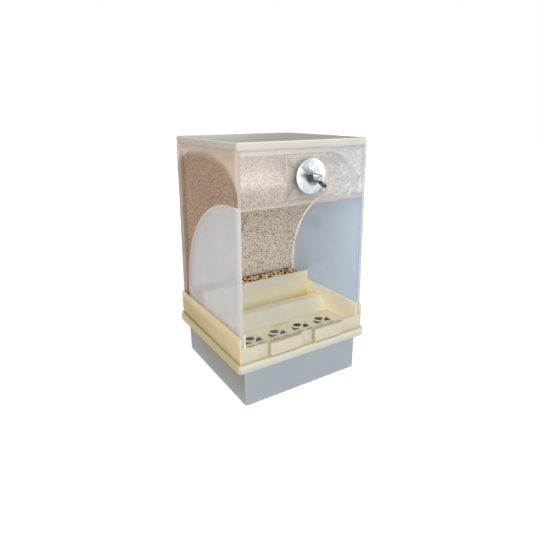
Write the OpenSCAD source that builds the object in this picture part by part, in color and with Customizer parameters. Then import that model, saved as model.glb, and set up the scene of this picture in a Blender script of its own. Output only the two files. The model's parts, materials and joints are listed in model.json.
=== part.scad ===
// Automatic bird seed feeder that clamps to the bars of a cage.
// Front faces -Y, +Z is up, and the origin is under the middle of the bin.
// Seed slides down a curved ramp into a trough, and husks drop through a grate into the bin.

/* [Housing] */
// Outside width of the housing, left to right
house_w = 142; // [126:1:160]
// Outside depth of the housing, front to back
house_d = 135; // [125:1:150]
// Height of the side and back panels
panel_h = 186; // [165:1:210]
// Thickness of the clear panels
panel_t = 3; // [2:0.25:4]
// Height of the hopper's front panel
hopper_front_h = 51; // [47:1:65]

/* [Ramp] */
// Thickness of the curved ramp
ramp_t = 3; // [2:0.25:4]
// Gap between the ramp's lower end and the back panel
throat = 13.5; // [10:0.5:20]
// How far the front panel hangs below the ramp
ramp_overhang = 1; // [0.5:0.5:5]
// Flat end of the ramp behind the front panel
ramp_flap = 10; // [4:0.5:16]
// Straight drop at the ramp's lower end
ramp_drop = 4; // [2:0.5:8]

/* [Lid] */
// Height of the lid's band above the panels
lid_h = 7; // [5:0.5:10]
// Wall thickness of the lid
lid_t = 2; // [1.5:0.25:2.75]
// Depth of the lip that drops inside the panels
lid_lip_h = 5; // [3:0.5:8]
// Clearance between the lip and the panels
lid_gap = 0.4; // [0.3:0.1:0.8]
// Chamfer round the lid's top
lid_chamfer = 0.8; // [0.4:0.1:1.4]
// Corner radius of the lid
lid_corner_r = 2; // [1.6:0.2:3]

/* [Tray] */
// Wall thickness of the tray's rim at the top
rim_t = 2; // [1.5:0.25:3]
// Height of the side and back rim
rim_h = 33; // [29:0.5:38]
// Height of the front wall
front_wall_h = 22.5; // [19:0.5:26]
// Lean of the outer walls, from foot to rim
rim_lean = 0.5; // [0.2:0.1:0.9]
// Corner radius of the rim
rim_corner_r = 2.5; // [2:0.25:4]
// Height of the tray's floor
floor_h = 11; // [9.5:0.5:12.5]
// Thickness of the floors and ledges
floor_t = 2; // [1.5:0.25:2.5]
// Clearance between a panel and its groove, on each side
groove_gap = 0.25; // [0.2:0.05:0.5]
// Height of the groove's floor above the tray's floor
groove_lift = 2; // [1:0.5:4]
// Thickness of the wall inside the groove
inner_wall_t = 1.8; // [1.4:0.1:2.4]
// Height of the wall inside the groove
inner_wall_h = 35; // [31:0.5:39]

/* [Dam and ridge] */
// Height of the dam that holds the seed back
dam_h = 46.5; // [42:0.5:52]
// Thickness of the dam
dam_t = 2.2; // [1.6:0.2:3]
// Gap between the dam's ends and the side panels
dam_end_gap = 0.5; // [0.3:0.1:1]
// Width of the channel in front of the dam
channel_w = 18; // [14:0.5:21]
// Height of the ridge between channel and well
ridge_h = 24; // [20:0.5:27]
// Width of the ridge's flat top
ridge_top_w = 10.5; // [8:0.5:13]
// Run of the ridge's sloping front face
ridge_run = 10.5; // [8:0.5:12]
// Wall thickness of the hollow ridge
ridge_t = 2; // [1.4:0.1:2.6]
// Flat shelf between the ridge and the grate
shelf_w = 0.5; // [0.5:0.5:2]

/* [Lugs and bumps] */
// Width of a hanging lug on the front wall
lug_w = 35.5; // [28:0.5:42]
// Distance between the lugs' middles
lug_pitch = 50.5; // [46:0.5:56]
// How far a lug stands out
lug_out = 5; // [4:0.25:7]
// How far a lug stands above the front wall
lug_rise = 1; // [0.5:0.25:2]
// Height of a lug
lug_h = 13; // [9:0.5:14]
// Wall thickness of a hollow lug
lug_t = 1.8; // [1.2:0.1:2]
// Radius of a lug's outer corners
lug_corner_r = 1.4; // [0.8:0.1:1.8]
// Length of a small moulded bump on the side walls
bump_len = 7; // [4:0.5:10]
// Radius of a bump
bump_r = 2; // [1.6:0.2:2.6]
// How far a bump stands proud
bump_out = 0.9; // [0.5:0.1:1.2]
// Height of the bumps above the tray's foot
bump_h = 14.5; // [11:0.5:18]
// Distance of the front bumps from the middle
bump_front = 46; // [38:1:52]
// Distance of the back bumps from the middle
bump_back = 28; // [20:1:36]

/* [Grate] */
// Thickness of the grate
grate_t = 1.4; // [1.2:0.1:2.4]
// Clearance round the grate
grate_gap = 0.4; // [0.3:0.1:0.8]
// Windows from left to right
grate_cols = 4; // [3:1:4]
// Windows from front to back
grate_rows = 2; // [1:1:2]
// Width of a window
cell_w = 20; // [17:0.2:20.6]
// Depth of a window's field, with its ring in the middle
cell_d = 19; // [17:0.2:20]
// Depth of the two open corners beside a ring
corner_d = 8.4; // [6:0.2:9]
// Distance between window columns
col_pitch = 28.8; // [26:0.2:31]
// Solid bar between window rows
row_bar = 3; // [2:0.2:5]
// Outer diameter of the ring in each window
ring_d = 13.4; // [12:0.2:15]
// Bore of the ring
ring_bore = 9.4; // [7:0.2:10.4]
// Width of the arm between the ring and the middle bar
ring_arm = 4.5; // [3:0.5:6]
// Border in front of the first row
grate_front_border = 1.6; // [1.2:0.2:3]
// Border behind the last row
grate_back_border = 3.8; // [3.4:0.2:8]
// Length of the finger slot in the back border
slot_len = 26; // [18:1:34]
// Width of the finger slot
slot_w = 1.8; // [1.2:0.1:2.2]
// Width of the ledge under the grate's front and back
ledge_w = 2; // [1.5:0.25:2.25]

/* [Bin] */
// Height of the bin below its flange
bin_h = 37; // [30:1:50]
// Wall thickness of the bin
bin_t = 2; // [1.5:0.25:2.5]
// How far the bin's walls lean out from foot to flange
bin_lean = 0.6; // [0.2:0.1:1.2]
// Corner radius at the bin's foot
bin_corner_r = 3; // [2.6:0.2:5]
// Chamfer round the bin's foot
bin_foot = 0.8; // [0.4:0.1:1.2]
// How far the bin's sides stand in from the tray's foot
bin_inset_x = 5.6; // [4.6:0.2:8]
// How far the bin's front and back stand in from the tray's foot
bin_inset_y = 1.9; // [1.6:0.1:4]
// Height of the flange wall round the tray's foot
flange_h = 7.5; // [5:0.5:9.5]
// Wall thickness of the flange
flange_t = 2; // [1.5:0.25:3]
// Clearance between the flange and the tray's foot
flange_gap = 0.4; // [0.3:0.1:0.6]
// Chamfer under the flange
flange_chamfer = 1.6; // [0.8:0.1:1.9]
// Depth of the tray's skirt inside the bin
skirt_h = 6; // [4:0.5:10]
// Thickness of the skirt
skirt_t = 1.8; // [1.4:0.1:2.4]
// Clearance between the skirt and the bin
skirt_gap = 0.5; // [0.4:0.1:0.8]

/* [Cage clamp] */
// Diameter of the clamp bolt
bolt_d = 6; // [5:0.5:8]
// Distance of the bolt below the top of the panels
bolt_drop = 24.5; // [22:0.5:27]
// Length of bolt left free beyond the wing nut
bolt_free = 6.5; // [5.5:0.5:10]
// Chamfer on the bolt's tip
bolt_tip = 0.6; // [0.3:0.1:1]
// Clearance hole round the bolt, on the radius
bolt_hole_gap = 0.3; // [0.2:0.05:0.6]
// Running clearance of the nuts on the bolt, on the radius
thread_gap = 0.05; // [0.03:0.01:0.08]
// Height of the bolt's hexagon head
head_h = 4; // [3:0.25:5.5]
// Hexagon size of the bolt's head and the lock nut, across the flats
hex_af = 10; // [9:0.5:13]
// Angle of the turned-off corners on the bolt's head and the lock nut
hex_chamfer = 30; // [20:1:40]
// Height of the lock nut
lock_nut_h = 5; // [4.5:0.25:6.5]
// Width of the backing pad
pad_w = 40; // [30:1:50]
// Thickness of the backing pad
pad_t = 2.5; // [2:0.25:4]
// Gap above and below the backing pad
pad_gap = 1; // [0.5:0.25:2]
// Diameter of the washer under the head
inner_washer_d = 18; // [16:0.5:20]
// Thickness of the washer under the head
inner_washer_t = 1.6; // [1:0.2:2]
// Diameter of the clamp washer
clamp_washer_d = 32; // [28:0.5:36]
// Thickness of the clamp washer
clamp_washer_t = 1.6; // [1.2:0.2:2.4]

/* [Wing nut] */
// Diameter of the wing nut's hub at its foot
hub_d = 11.5; // [11:0.25:13]
// Diameter of the hub at its top
hub_top_d = 9.5; // [9:0.25:10.5]
// Height of the hub
hub_h = 6; // [5:0.25:8]
// Span across the two wings
wing_span = 28; // [25:0.5:34]
// Height of the wings above the hub's foot
wing_h = 11; // [9.5:0.25:14]
// Radius of a wing's round end
wing_r = 4; // [3.4:0.2:4.6]
// Height of a wing's lower edge above the hub's foot
wing_low = 1; // [0.5:0.25:2]
// Thickness of a wing
wing_t = 1.6; // [1.2:0.1:3]
// Turn of the wings from level
wing_turn = 45; // [0:5:175]

/* [Hidden] */
$fn = 64;
eps = 0.5;

// Levels, from the table up
tray_z = bin_h + floor_t;
floor_z = tray_z + floor_h;
groove_z = floor_z + groove_lift;
panel_top = groove_z + panel_h;
front_low = panel_top - hopper_front_h;
ramp_low = front_low + ramp_overhang;
bolt_z = panel_top - bolt_drop;
lip_low = panel_top - lid_lip_h;

// Housing faces
in_x = house_w / 2 - panel_t;
in_y = house_d / 2 - panel_t;
front_y = -house_d / 2;

// Bend of the ramp, between its flat end and its straight drop
ramp_out_r = 2 * in_y - throat - ramp_flap;
ramp_in_r = ramp_out_r - ramp_t;
ramp_y = -in_y + ramp_flap;
ramp_z = ramp_low - ramp_in_r;

// Tray rim, groove and inner wall
rim_in_x = house_w / 2 + groove_gap;
rim_in_y = house_d / 2 + groove_gap;
foot_x = rim_in_x + rim_t - rim_lean;
foot_y = rim_in_y + rim_t - rim_lean;
foot_r = rim_corner_r - rim_lean;
wall_out_x = in_x - groove_gap;
wall_out_y = in_y - groove_gap;
wall_in_x = wall_out_x - inner_wall_t;
wall_in_y = wall_out_y - inner_wall_t;

// Grate, and what lies behind it from front to back
grate_x = wall_in_x - grate_gap;
grate_front = -rim_in_y + grate_gap;
row_pitch = cell_d + row_bar;
rows_depth = grate_rows * row_pitch - row_bar;
grate_depth = grate_front_border + rows_depth + grate_back_border;
grate_back = grate_front + grate_depth;
grate_z = floor_z - grate_t;
well_back = grate_back + grate_gap;
slope_foot = well_back + shelf_w;
ridge_front = slope_foot + ridge_run;
ridge_back = ridge_front + ridge_top_w;
dam_front = ridge_back + channel_w;

// Bin, flange and the skirt inside the bin
flange_lean = rim_lean * flange_h / rim_h;
flange_in_x = foot_x + flange_lean + flange_gap;
flange_in_y = foot_y + flange_lean + flange_gap;
flange_r = foot_r + flange_lean + flange_gap;
bin_top_x = foot_x - bin_inset_x;
bin_top_y = foot_y - bin_inset_y;
skirt_x = bin_top_x - bin_t - bin_lean - skirt_gap;
skirt_y = bin_top_y - bin_t - bin_lean - skirt_gap;

// Stack of pieces along the bolt, from inside the hopper to its tip
pad_face = -in_y + pad_t;
head_seat = pad_face + inner_washer_t;
washer_seat = front_y - lock_nut_h;
nut_seat = washer_seat - clamp_washer_t;
bolt_end = nut_seat - hub_h - bolt_free;
bolt_r = bolt_d / 2;
hole_r = bolt_r + bolt_hole_gap;
thread_r = bolt_r + thread_gap;

// Rectangle with round corners, centred
module round_rect(w, d, r) {
    square([w - 2 * r, d], center = true);
    square([w, d - 2 * r], center = true);
    for (sx = [-1, 1], sy = [-1, 1])
        translate([sx * (w / 2 - r), sy * (d / 2 - r)])
            circle(r);
}

// Slot with round ends, centred, along X
module round_slot(length, width) {
    square([length - width, width], center = true);
    for (side = [-1, 1])
        translate([side * (length - width) / 2, 0])
            circle(d = width);
}

// Bar along Y whose two sides lean out by lean over its height
module leaning_bar(w, d, h, lean) {
    rotate([90, 0, 0])
        linear_extrude(d, center = true)
            polygon([[-w / 2, 0], [w / 2, 0], [w / 2 + lean, h], [-w / 2 - lean, h]]);
}

// Round-cornered block whose four sides lean out by lean over its height
module leaning_block(w, d, h, r, lean) {
    leaning_bar(w, d - 2 * r, h, lean);
    rotate([0, 0, 90])
        leaning_bar(d, w - 2 * r, h, lean);
    for (sx = [-1, 1], sy = [-1, 1])
        translate([sx * (w / 2 - r), sy * (d / 2 - r), 0])
            cylinder(r1 = r, r2 = r + lean, h = h);
}

// Box between two corners
module span_box(low, high) {
    translate(low)
        cube(high - low);
}

// Outline in Y and Z, drawn out along X between -half and half
module drawn_x(half) {
    rotate([90, 0, 90])
        linear_extrude(2 * half, center = true)
            children();
}

// Puts a piece modelled along +Z on the bolt's axis, with its foot at y and its top to the front
module on_bolt(y) {
    translate([0, y, bolt_z])
        rotate([90, 0, 0])
            children();
}

// Flat ring, standing on its lower face
module washer(d, t, bore_r) {
    difference() {
        cylinder(d = d, h = t);
        translate([0, 0, -eps])
            cylinder(r = bore_r, h = t + 2 * eps);
    }
}

// Hexagon with its top corners turned off
module hexagon(af, h) {
    corner_r = af / 2 / cos(30);
    intersection() {
        cylinder(r = corner_r, h = h, $fn = 6);
        cylinder(r1 = af / 2 + h / tan(hex_chamfer), r2 = af / 2, h = h);
    }
}

// Bin that catches the husks, with a step and a flange for the tray
module husk_bin() {
    foot_w = 2 * (bin_top_x - bin_lean);
    foot_d = 2 * (bin_top_y - bin_lean);
    flange_w = 2 * (flange_in_x + flange_t);
    flange_d = 2 * (flange_in_y + flange_t);
    flange_out_r = flange_r + flange_t;
    color("#a9b4c0")
        difference() {
            union() {
                leaning_block(
                    foot_w - 2 * bin_foot, foot_d - 2 * bin_foot,
                    bin_foot, bin_corner_r - bin_foot, bin_foot
                );
                translate([0, 0, bin_foot])
                    leaning_block(foot_w, foot_d, tray_z - bin_foot, bin_corner_r, bin_lean);
                translate([0, 0, bin_h])
                    leaning_block(
                        flange_w - 2 * flange_chamfer, flange_d - 2 * flange_chamfer,
                        flange_chamfer, flange_out_r - flange_chamfer, flange_chamfer
                    );
                translate([0, 0, bin_h + flange_chamfer])
                    linear_extrude(floor_t - flange_chamfer + flange_h)
                        round_rect(flange_w, flange_d, flange_out_r);
            }
            translate([0, 0, bin_t])
                leaning_block(
                    foot_w - 2 * bin_t, foot_d - 2 * bin_t,
                    tray_z - bin_t + eps, bin_corner_r - bin_t, bin_lean
                );
            translate([0, 0, tray_z])
                linear_extrude(flange_h + eps)
                    round_rect(2 * flange_in_x, 2 * flange_in_y, flange_r);
        }
}

// Small round-backed bump on a side wall
module side_bump(side, y) {
    lean_x = foot_x + rim_lean * bump_h / rim_h;
    translate([side * (lean_x + bump_out - bump_r), y, tray_z + bump_h])
        rotate([90, 0, 0])
            cylinder(r = bump_r, h = bump_len, center = true);
}

// Leaning rim of the tray with its bumps, and its front wall cut down
module tray_rim() {
    difference() {
        union() {
            translate([0, 0, tray_z])
                leaning_block(2 * foot_x, 2 * foot_y, rim_h, foot_r, rim_lean);
            for (side = [-1, 1], y = [-bump_front, bump_back])
                side_bump(side, y);
        }
        span_box(
            [-rim_in_x, -rim_in_y, tray_z - eps],
            [rim_in_x, rim_in_y, tray_z + rim_h + eps]
        );
        span_box(
            [-rim_in_x, -rim_in_y - 2 * rim_t, tray_z + front_wall_h],
            [rim_in_x, -rim_in_y + eps, tray_z + rim_h + eps]
        );
    }
}

// Floor, groove packing and the wall inside the groove
module tray_floor() {
    wall_top = tray_z + inner_wall_h;
    span_box([-rim_in_x, -rim_in_y, floor_z - floor_t], [rim_in_x, rim_in_y, floor_z]);
    span_box([-wall_out_x, -rim_in_y, grate_z - floor_t], [wall_out_x, well_back + floor_t, floor_z]);
    difference() {
        union() {
            span_box([-rim_in_x, -rim_in_y, floor_z], [rim_in_x, rim_in_y, groove_z]);
            span_box([-wall_out_x, -rim_in_y, floor_z], [wall_out_x, wall_out_y, wall_top]);
        }
        span_box([-wall_in_x, -rim_in_y - eps, floor_z - eps], [wall_in_x, wall_in_y, wall_top + eps]);
    }
}

// Ridge outline in Y and Z, grown inwards by t for the hollow under it
module ridge_outline(t) {
    rise = tray_z + ridge_h - floor_z;
    slope = atan2(rise, ridge_run);
    low_z = t > 0 ? floor_z - floor_t - eps : floor_z;
    top_z = tray_z + ridge_h - t;
    inset = t / sin(slope);
    low_front = slope_foot + inset - (floor_z - low_z) / tan(slope);
    top_front = ridge_front + inset - t / tan(slope);
    polygon([[low_front, low_z], [top_front, top_z], [ridge_back - t, top_z], [ridge_back - t, low_z]]);
}

// Dam across the tray, which stops the seed behind it
module dam() {
    dam_x = in_x - dam_end_gap;
    span_box([-dam_x, dam_front, floor_z], [dam_x, dam_front + dam_t, tray_z + dam_h]);
}

// Skirt under the tray's sides and back, which finds the bin's inner walls
module tray_skirt() {
    difference() {
        span_box([-skirt_x, -skirt_y, tray_z - skirt_h], [skirt_x, skirt_y, floor_z - floor_t]);
        span_box(
            [-skirt_x + skirt_t, -skirt_y - eps, tray_z - skirt_h - eps],
            [skirt_x - skirt_t, skirt_y - skirt_t, floor_z]
        );
    }
}

// Hollow lug on the front wall, open below, that drops over a bar of the cage
module hanging_lug() {
    depth = lug_out + rim_t / 2;
    top_z = tray_z + front_wall_h + lug_rise;
    wall_y = -rim_in_y - rim_t;
    translate([0, wall_y - lug_out + depth / 2, top_z - lug_h])
        difference() {
            linear_extrude(lug_h)
                round_rect(lug_w, depth, lug_corner_r);
            span_box(
                [-lug_w / 2 + lug_t, -depth / 2 + lug_t, -eps],
                [lug_w / 2 - lug_t, depth / 2 - rim_t / 2, lug_h - lug_t]
            );
        }
}

// Moulded tray
module seed_tray() {
    color("#e4d9b4")
        difference() {
            union() {
                tray_rim();
                tray_floor();
                drawn_x(wall_in_x + inner_wall_t / 2)
                    ridge_outline(0);
                dam();
                tray_skirt();
                for (side = [-1, 1])
                    translate([side * lug_pitch / 2, 0, 0])
                        hanging_lug();
            }
            drawn_x(wall_in_x)
                ridge_outline(ridge_t);
            span_box([-wall_in_x, -rim_in_y, grate_z], [wall_in_x, well_back, floor_z + eps]);
            span_box(
                [-skirt_x + skirt_t, -rim_in_y + ledge_w, grate_z - floor_t - eps],
                [skirt_x - skirt_t, well_back - ledge_w, floor_z]
            );
        }
}

// Places its children at the middle of every grate window, with the back row turned about
module at_cells() {
    first_y = grate_front + grate_front_border + cell_d / 2;
    for (col = [0 : grate_cols - 1], row = [0 : grate_rows - 1])
        translate([(col - (grate_cols - 1) / 2) * col_pitch, first_y + row * row_pitch])
            rotate(180 * row)
                children();
}

// One window, whose ring and arm leave the two corners on its back side open
module cell_opening() {
    difference() {
        translate([-cell_w / 2, cell_d / 2 - corner_d])
            square([cell_w, corner_d]);
        circle(d = ring_d);
        square([ring_arm, cell_d + eps], center = true);
    }
    circle(d = ring_bore);
}

// Lift-out grate that lets husks through
module husk_grate() {
    color("#ece8d6")
        translate([0, 0, grate_z])
            linear_extrude(grate_t)
                difference() {
                    translate([-grate_x, grate_front])
                        square([2 * grate_x, grate_depth]);
                    at_cells()
                        cell_opening();
                    translate([0, grate_back - grate_back_border / 2])
                        round_slot(slot_len, slot_w);
                }
}

// Side panel on the side given, standing in the tray's groove
module side_panel(side) {
    translate([side * (house_w - panel_t) / 2, 0, groove_z + panel_h / 2])
        cube([panel_t, house_d, panel_h], center = true);
}

module left_panel() {
    color("#c4cad2")
        side_panel(-1);
}

module right_panel() {
    color("#c4cad2")
        side_panel(1);
}

// Rear wall, between the side panels
module back_panel() {
    color("#bcc3cc")
        span_box([-in_x, in_y, groove_z], [in_x, house_d / 2, panel_top]);
}

// Hopper front, between the side panels, drilled for the bolt
module front_panel() {
    color("#ccd0d4")
        difference() {
            span_box([-in_x, front_y, front_low], [in_x, -in_y, panel_top]);
            on_bolt(-in_y + eps)
                cylinder(r = hole_r, h = panel_t + 2 * eps);
        }
}

// Side outline of the ramp, from the middle of its bend
module ramp_outline() {
    intersection() {
        difference() {
            circle(ramp_out_r, $fn = 192);
            circle(ramp_in_r, $fn = 192);
        }
        square(ramp_out_r + eps);
    }
    translate([-ramp_flap, ramp_in_r])
        square([ramp_flap, ramp_t]);
    translate([ramp_in_r, -ramp_drop])
        square([ramp_t, ramp_drop]);
}

// Bent hopper floor, from the front panel down to the throat
module curved_ramp() {
    color("#d2d0cc")
        translate([0, ramp_y, ramp_z])
            drawn_x(in_x)
                ramp_outline();
}

// Strip behind the hopper front that spreads the bolt's pull
module bolt_pad() {
    low_z = ramp_low + ramp_t + pad_gap;
    color("#d8d6cc")
        difference() {
            span_box([-pad_w / 2, -in_y, low_z], [pad_w / 2, pad_face, lip_low - pad_gap]);
            on_bolt(pad_face + eps)
                cylinder(r = hole_r, h = pad_t + 2 * eps);
        }
}

// Hexagon bolt, head inside the hopper and tip to the front
module clamp_bolt() {
    shank = head_seat - bolt_end;
    color("#b9bcc0")
        union() {
            on_bolt(head_seat) {
                cylinder(r = bolt_r, h = shank - bolt_tip);
                translate([0, 0, shank - bolt_tip])
                    cylinder(r1 = bolt_r, r2 = bolt_r - bolt_tip, h = bolt_tip);
                mirror([0, 0, 1])
                    hexagon(hex_af, head_h);
            }
        }
}

module inner_washer() {
    color("#c9ccd0")
        on_bolt(head_seat)
            washer(inner_washer_d, inner_washer_t, hole_r);
}

// Nut that locks the bolt to the hopper front
module lock_nut() {
    color("#8d9094")
        on_bolt(front_y)
            difference() {
                hexagon(hex_af, lock_nut_h);
                translate([0, 0, -eps])
                    cylinder(r = thread_r, h = lock_nut_h + 2 * eps);
            }
}

module clamp_washer() {
    color("#e6e9ea")
        on_bolt(washer_seat)
            washer(clamp_washer_d, clamp_washer_t, hole_r);
}

// Point where a line from p touches a circle, to the left (1) or the right (-1) of its middle
function touch_point(p, middle, r, side) =
    let (
        way = middle - p,
        turn = atan2(way.y, way.x) + side * asin(r / norm(way)),
        reach = sqrt(way * way - r * r)
    )
    p + reach * [cos(turn), sin(turn)];

// Flat outline of one wing, from the hub's axis outwards
module wing_outline() {
    tip = [wing_span / 2 - wing_r, wing_h - wing_r];
    under = [hub_d / 2, wing_low];
    over = [hub_top_d / 2, hub_h];
    translate(tip)
        circle(wing_r);
    polygon([
        [0, wing_low],
        under,
        touch_point(under, tip, wing_r, -1),
        touch_point(over, tip, wing_r, 1),
        over,
        [0, hub_h]
    ]);
}

module wing_nut() {
    color("#a6a9ac")
        on_bolt(nut_seat)
            rotate([0, 0, -wing_turn])
                difference() {
                    union() {
                        cylinder(d1 = hub_d, d2 = hub_top_d, h = hub_h);
                        for (turn = [0, 180])
                            rotate([0, 0, turn])
                                rotate([90, 0, 0])
                                    linear_extrude(wing_t, center = true)
                                        wing_outline();
                    }
                    translate([0, 0, -eps])
                        cylinder(r = thread_r, h = wing_h + 2 * eps);
                }
}

// Lift-off cap with a lip that drops inside the panels
module lid() {
    lip_x = in_x - lid_gap;
    lip_y = in_y - lid_gap;
    band_h = lid_h - lid_chamfer;
    color("#d5d2c6")
        translate([0, 0, panel_top])
            difference() {
                union() {
                    linear_extrude(band_h)
                        round_rect(house_w, house_d, lid_corner_r);
                    translate([0, 0, band_h])
                        leaning_block(house_w, house_d, lid_chamfer, lid_corner_r, -lid_chamfer);
                    translate([0, 0, -lid_lip_h])
                        linear_extrude(lid_lip_h + eps)
                            round_rect(2 * lip_x, 2 * lip_y, lid_corner_r);
                }
                translate([0, 0, -lid_lip_h - eps])
                    linear_extrude(lid_lip_h + lid_h - lid_t + eps)
                        round_rect(2 * (lip_x - lid_t), 2 * (lip_y - lid_t), lid_corner_r);
            }
}

husk_bin();
seed_tray();
husk_grate();
left_panel();
right_panel();
back_panel();
front_panel();
curved_ramp();
bolt_pad();
clamp_bolt();
inner_washer();
lock_nut();
clamp_washer();
wing_nut();
lid();
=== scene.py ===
import json
import math
from functools import partial

import bmesh
import bpy
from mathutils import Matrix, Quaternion, Vector, noise


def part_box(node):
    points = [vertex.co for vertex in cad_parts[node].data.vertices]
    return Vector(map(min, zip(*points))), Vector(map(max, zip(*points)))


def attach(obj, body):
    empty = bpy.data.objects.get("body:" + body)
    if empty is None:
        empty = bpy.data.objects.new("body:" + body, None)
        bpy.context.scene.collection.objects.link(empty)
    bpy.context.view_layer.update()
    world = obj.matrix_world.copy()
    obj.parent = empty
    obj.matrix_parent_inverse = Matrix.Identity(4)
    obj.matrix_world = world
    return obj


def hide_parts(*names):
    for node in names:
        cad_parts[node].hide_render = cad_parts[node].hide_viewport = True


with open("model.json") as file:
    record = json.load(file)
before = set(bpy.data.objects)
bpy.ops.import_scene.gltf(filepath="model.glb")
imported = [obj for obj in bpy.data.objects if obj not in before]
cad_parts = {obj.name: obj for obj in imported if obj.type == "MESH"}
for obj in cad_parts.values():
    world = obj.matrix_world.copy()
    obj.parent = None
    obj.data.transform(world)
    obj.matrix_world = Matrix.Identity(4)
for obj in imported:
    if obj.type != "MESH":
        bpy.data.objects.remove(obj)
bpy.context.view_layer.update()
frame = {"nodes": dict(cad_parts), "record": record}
nodes = frame["nodes"]
bodies = frame["record"]["behaviour"]["bodies"]
bodyOf = {node: body for body, members in bodies.items() for node in members}
troughRoom = next(
    [Vector(corner) for corner in hole["box_m"]]
    for hole in frame["record"]["physics"]["openings"] if hole["name"] == "seed_trough"
)
mm = 0.001
print("frame loaded with", len(nodes), "nodes")


def newObject(name, data):
    made = bpy.data.objects.new(name, data)
    bpy.context.scene.collection.objects.link(made)
    return made


# Camera

shot = {
    "place": (-0.2441, -0.3970, 0.2679),  # metres, fitted to the object's edges in the photograph
    "azimuth": -31.96,  # degrees, 0 looks along +Y
    "elevation": 14.43,
    "roll": -0.20,
    "focal": 456.0,  # pixels
    "frame": 540.0,
    "middle": (271.0, 230.2),  # pixel where the optical axis meets the picture
    "sensor": 36.0,  # millimetres
    "nearest": 0.01,
}


def makeCamera():
    turn, tilt = math.radians(shot["azimuth"]), math.radians(shot["elevation"])
    back = Vector((math.sin(turn) * math.cos(tilt), -math.cos(turn) * math.cos(tilt), math.sin(tilt)))
    data = bpy.data.cameras.new("photoCamera")
    data.sensor_width = shot["sensor"]
    data.lens = data.sensor_width * shot["focal"] / shot["frame"]
    data.shift_x = 0.5 - shot["middle"][0] / shot["frame"]
    data.shift_y = shot["middle"][1] / shot["frame"] - 0.5
    data.clip_start = shot["nearest"]
    camera = newObject("photoCamera", data)
    camera.location = shot["place"]
    camera.rotation_mode = "QUATERNION"
    roll = Quaternion((0, 0, 1), math.radians(shot["roll"]))
    camera.rotation_quaternion = (-back).to_track_quat("-Z", "Y") @ roll
    bpy.context.scene.camera = camera


makeCamera()
print("camera placed")


# Node helpers

def hexLinear(code):  # sRGB hex to linear RGBA
    parts = [int(code[i : i + 2], 16) / 255 for i in (1, 3, 5)]
    return [c / 12.92 if c <= 0.04045 else ((c + 0.055) / 1.055) ** 2.4 for c in parts] + [1.0]


def addNode(tree, kind, sockets=None, stops=(), **settings):
    # a socket takes a value, a colour code, an output, or a node, which gives its first output in use,
    # and a pair of sockets takes a pair of values
    node = tree.nodes.new(kind if "Node" in kind else "ShaderNode" + kind)
    for name, setting in settings.items():
        setattr(node, name, setting)
    for socket, given in (sockets or {}).items():
        if isinstance(socket, tuple):
            for name, value in zip(socket, given):
                node.inputs[name].default_value = value
            continue
        if isinstance(given, bpy.types.Node):
            given = next(output for output in given.outputs if output.enabled)
        if isinstance(given, bpy.types.NodeSocket):
            tree.links.new(given, node.inputs[socket])
        else:
            isColour = isinstance(given, str) and given.startswith("#")
            node.inputs[socket].default_value = hexLinear(given) if isColour else given
    for extra in stops[2:]:  # a colour ramp starts with two stops
        node.color_ramp.elements.new(1.0)
    for place, (start, colour) in enumerate(stops):
        node.color_ramp.elements[place].position = start
        node.color_ramp.elements[place].color = hexLinear(colour)
    return node


fromSpan = ("From Min", "From Max")  # the ends of what a Map Range node reads
toSpan = ("To Min", "To Max")  # and of what it gives


def newMaterial(name):
    material = bpy.data.materials.new(name)
    material.use_nodes = True
    material.node_tree.nodes.clear()
    return material, partial(addNode, material.node_tree)


def seenByEye(add):  # 1 for what the camera sees, also in metal and through a clear sheet
    path = add("LightPath").outputs
    direct = add("Math", {0: path["Is Camera Ray"], 1: path["Is Glossy Ray"]}, operation="MAXIMUM")
    return add("Math", {0: direct, 1: path["Is Transmission Ray"]}, operation="MAXIMUM")


# Studio

studio = {
    "floorSize": 8.0,
    "floorColour": "#E6E6E6",
    "floorLift": (0.50, 0.98),  # added to the lit floor where it is seen, near the object and far away
    "liftReach": (0.3, 1.3),  # metres between the two
    "roomLight": (0.72, 0.24),  # at the horizon and overhead
    "roomTint": "#F6F8FF",
    "lamps": {  # place, width in metres, watts, tint
        "keyBox": ((-0.48, -1.18, 1.20), 1.2, 14.5, "#FFFDF8"),
        "lowBox": ((-0.10, -1.15, 0.20), 0.7, 5.4, "#FFFDF8"),  # reaches up the ramp
        "sideBox": ((-1.35, -0.25, 0.45), 1.0, 3.2, "#FFD28C"),  # warm light from a wall on the left
        "fillBox": ((1.30, -0.95, 0.50), 0.9, 4.0, "#FFFFFF"),
        "backBox": ((0.30, 1.40, 0.70), 0.9, 5.0, "#FFFFFF"),
    },
    "lampTarget": (0.0, 0.0, 0.12),
}


def makeWorld():  # a dim room that lights the object and reads as white where it is seen
    world = bpy.data.worlds.new("studioRoom")
    world.use_nodes = True
    world.node_tree.nodes.clear()
    add = partial(addNode, world.node_tree)
    way = add("TexCoord").outputs["Generated"]
    up = add("SeparateXYZ", {0: way}).outputs["Z"]
    level = add("MapRange", {"Value": up, toSpan: studio["roomLight"]})
    room = add("Background", {"Color": studio["roomTint"], "Strength": level})
    white = add("Background", {"Color": "#FFFFFF", "Strength": 1.0})
    mixed = add("MixShader", {0: seenByEye(add), 1: room, 2: white})
    add("OutputWorld", {"Surface": mixed})
    bpy.context.scene.world = world


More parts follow.
